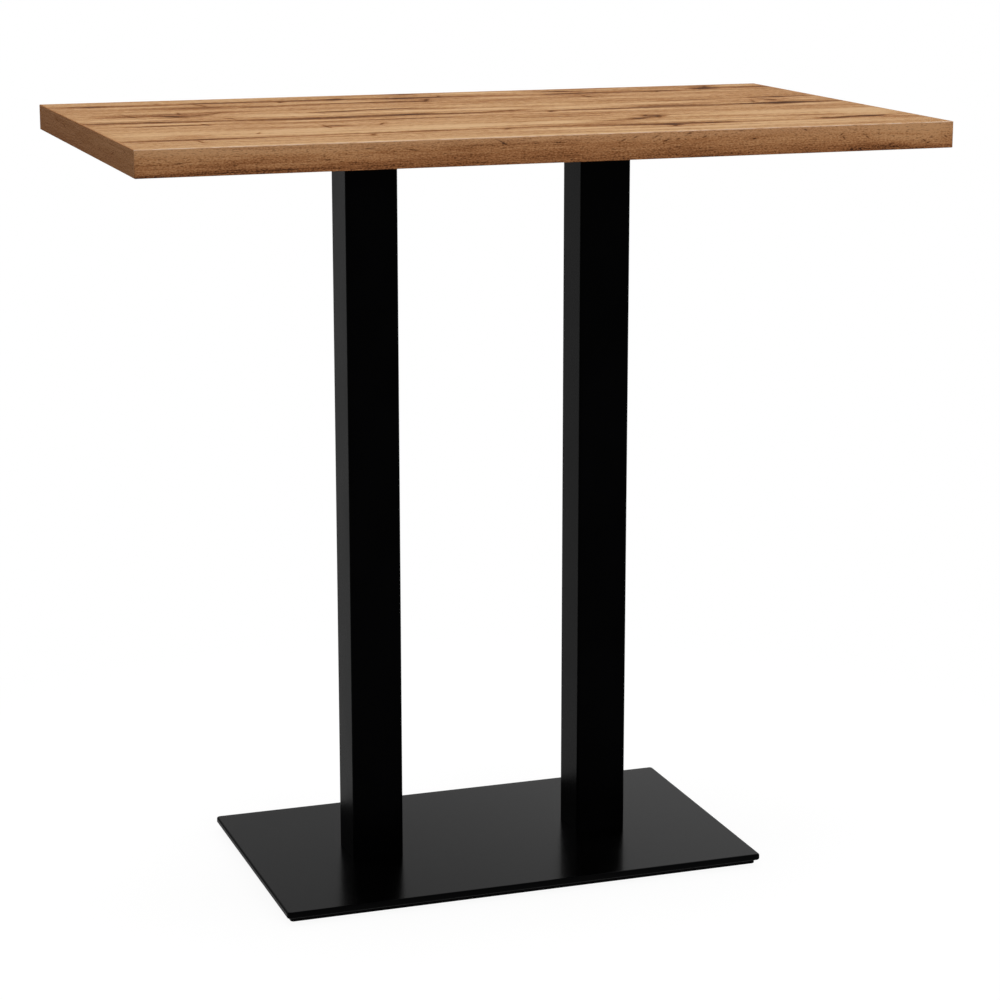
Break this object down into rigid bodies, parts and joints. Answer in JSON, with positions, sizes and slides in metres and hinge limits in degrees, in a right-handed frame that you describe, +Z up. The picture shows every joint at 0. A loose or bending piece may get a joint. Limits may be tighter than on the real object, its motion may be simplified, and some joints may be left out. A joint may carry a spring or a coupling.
{
  "type": "bar table",
  "caption": "High rectangular bar table: an oak-look top on twin square steel columns over a flat base plate with levelling glides.",
  "frame": {"origin": "on the floor under the centre of the table, with the glides screwed fully in", "axes": "+X along the tabletop's length to the right, +Y to the back across its width, +Z up"},
  "size_m": [1.2, 0.7, 1.16],
  "materials": {
    "oak_laminate": "satin oak-look laminate, straight grain with knots",
    "oak_edge": "satin oak-look edge strip",
    "underside_laminate": "matt balancing laminate",
    "particle_board": "raw pressed board",
    "black_steel": "fine-texture satin black powder coat",
    "zinc_steel": "bright zinc plating",
    "glide_plastic": "matt black polyamide"
  },
  "bodies": {
    "table": {"tabletop_core": "particle_board", "top_laminate": "oak_laminate", "underside_laminate": "underside_laminate", "edge_band_front": "oak_edge", "edge_band_back": "oak_edge", "edge_band_left": "oak_edge", "edge_band_right": "oak_edge", "mounting_plate_left": "black_steel", "mounting_plate_right": "black_steel", "column_tube_left": "black_steel", "column_tube_right": "black_steel", "column_head_left": "black_steel", "column_head_right": "black_steel", "column_foot_left": "black_steel", "column_foot_right": "black_steel", "base_plate": "black_steel", "ballast_plate": "black_steel", "tabletop_screws": "zinc_steel", "plate_bolts": "zinc_steel", "lock_washers": "zinc_steel", "column_bolts": "zinc_steel", "ballast_screws": "zinc_steel"},
    "glide_foot_1": {"glide_pad_1": "glide_plastic"},
    "glide_screw_1": {"glide_stud_1": "zinc_steel"},
    "glide_foot_2": {"glide_pad_2": "glide_plastic"},
    "glide_screw_2": {"glide_stud_2": "zinc_steel"},
    "glide_foot_3": {"glide_pad_3": "glide_plastic"},
    "glide_screw_3": {"glide_stud_3": "zinc_steel"},
    "glide_foot_4": {"glide_pad_4": "glide_plastic"},
    "glide_screw_4": {"glide_stud_4": "zinc_steel"}
  },
  "joints": [
    {"name": "glide_1_height", "type": "slide", "parent": "table", "child": "glide_foot_1", "axis": [0, 0, -1], "range_m": [0, 0.007]},
    {"name": "glide_1_turn", "type": "hinge", "parent": "glide_foot_1", "child": "glide_screw_1", "pos_m": [-0.319, -0.164, 0], "axis": [0, 0, -1], "range_deg": [0, 2017]},
    {"name": "glide_2_height", "type": "slide", "parent": "table", "child": "glide_foot_2", "axis": [0, 0, -1], "range_m": [0, 0.007]},
    {"name": "glide_2_turn", "type": "hinge", "parent": "glide_foot_2", "child": "glide_screw_2", "pos_m": [0.319, -0.164, 0], "axis": [0, 0, -1], "range_deg": [0, 2017]},
    {"name": "glide_3_height", "type": "slide", "parent": "table", "child": "glide_foot_3", "axis": [0, 0, -1], "range_m": [0, 0.007]},
    {"name": "glide_3_turn", "type": "hinge", "parent": "glide_foot_3", "child": "glide_screw_3", "pos_m": [0.319, 0.164, 0], "axis": [0, 0, -1], "range_deg": [0, 2017]},
    {"name": "glide_4_height", "type": "slide", "parent": "table", "child": "glide_foot_4", "axis": [0, 0, -1], "range_m": [0, 0.007]},
    {"name": "glide_4_turn", "type": "hinge", "parent": "glide_foot_4", "child": "glide_screw_4", "pos_m": [-0.319, 0.164, 0], "axis": [0, 0, -1], "range_deg": [0, 2017]}
  ],
  "couplings": [
    {"joint": "glide_1_turn", "follows": "glide_1_height", "rad_per_m": 5026.5},
    {"joint": "glide_2_turn", "follows": "glide_2_height", "rad_per_m": 5026.5},
    {"joint": "glide_3_turn", "follows": "glide_3_height", "rad_per_m": 5026.5},
    {"joint": "glide_4_turn", "follows": "glide_4_height", "rad_per_m": 5026.5}
  ]
}
